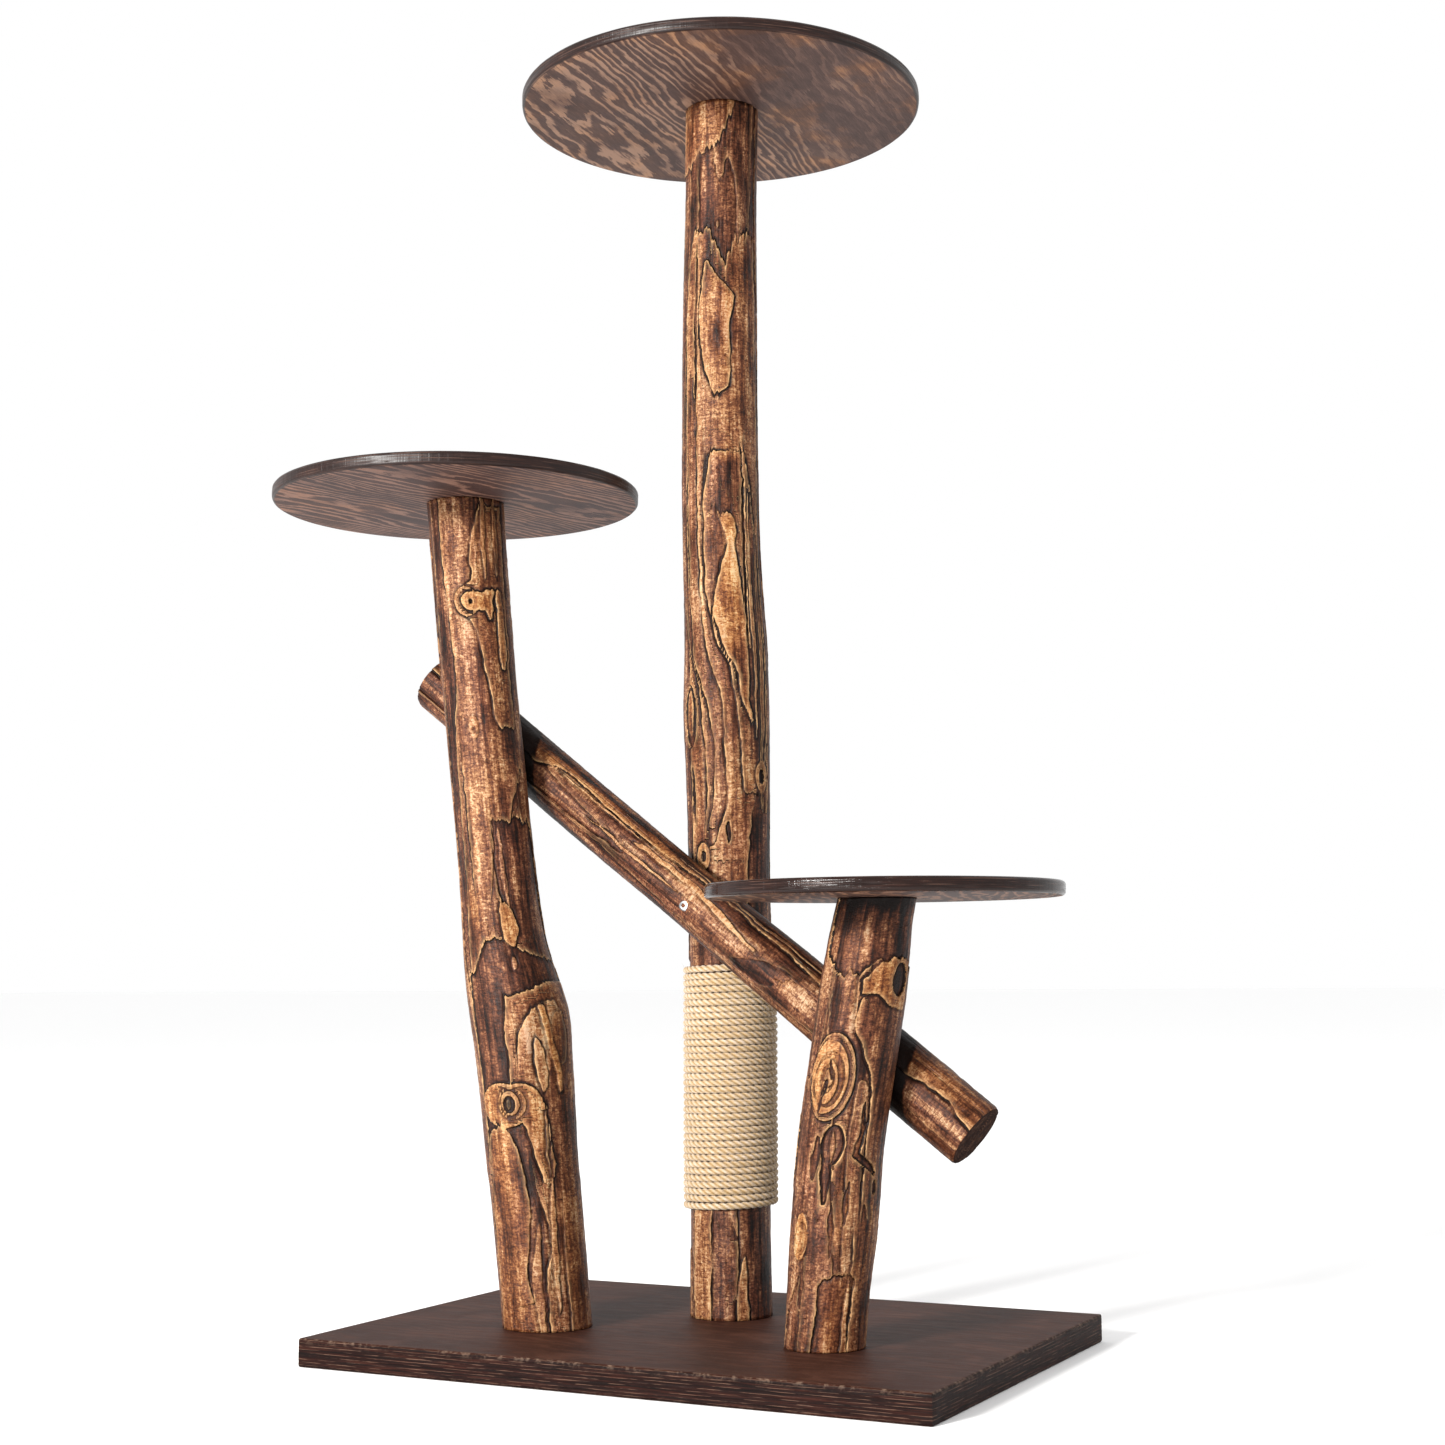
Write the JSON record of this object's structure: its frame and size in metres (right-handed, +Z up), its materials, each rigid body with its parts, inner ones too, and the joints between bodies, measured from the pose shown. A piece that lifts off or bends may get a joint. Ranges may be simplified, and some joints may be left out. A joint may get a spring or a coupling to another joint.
{
  "type": "cat tree",
  "caption": "Log cat tree: round plywood perches at stepped heights on leaning log posts, a diagonal log brace and a rope-wound scratching length on a rectangular base.",
  "frame": {"origin": "centre of the base board's underside", "axes": "+Z up, +X along the base's long side towards the low perch, -Y to the front"},
  "size_m": [0.7695, 0.496, 1.2],
  "materials": {
    "log_wood": "peeled log, brushed and stained, raised grain in dark and light brown",
    "base_plywood": "dark brown stained plywood, satin, worn pale along the edges",
    "perch_plywood": "dark brown stained plywood with a glossy rounded rim",
    "sisal": "natural twisted sisal rope",
    "zinc_steel": "bright zinc-plated steel",
    "insert_alloy": "plain zinc alloy"
  },
  "bodies": {
    "root": {"base_board": "base_plywood", "main_post": "log_wood", "left_post": "log_wood", "right_post": "log_wood", "brace_log": "log_wood", "top_plate": "perch_plywood", "middle_plate": "perch_plywood", "low_plate": "perch_plywood", "sisal_rope": "sisal", "rope_staple_lower": "zinc_steel", "rope_staple_upper": "zinc_steel", "base_main_bolt": "zinc_steel", "base_left_bolt": "zinc_steel", "base_right_bolt": "zinc_steel", "base_main_insert": "insert_alloy", "base_left_insert": "insert_alloy", "base_right_insert": "insert_alloy", "top_plate_bolt": "zinc_steel", "middle_plate_bolt": "zinc_steel", "low_plate_bolt": "zinc_steel", "top_plate_insert": "insert_alloy", "middle_plate_insert": "insert_alloy", "low_plate_insert": "insert_alloy", "top_plate_screw_a": "zinc_steel", "top_plate_screw_b": "zinc_steel", "middle_plate_screw_a": "zinc_steel", "middle_plate_screw_b": "zinc_steel", "low_plate_screw_a": "zinc_steel", "low_plate_screw_b": "zinc_steel", "brace_bolt_main": "zinc_steel", "brace_bolt_left": "zinc_steel", "brace_bolt_right": "zinc_steel"}
  },
  "joints": []
}
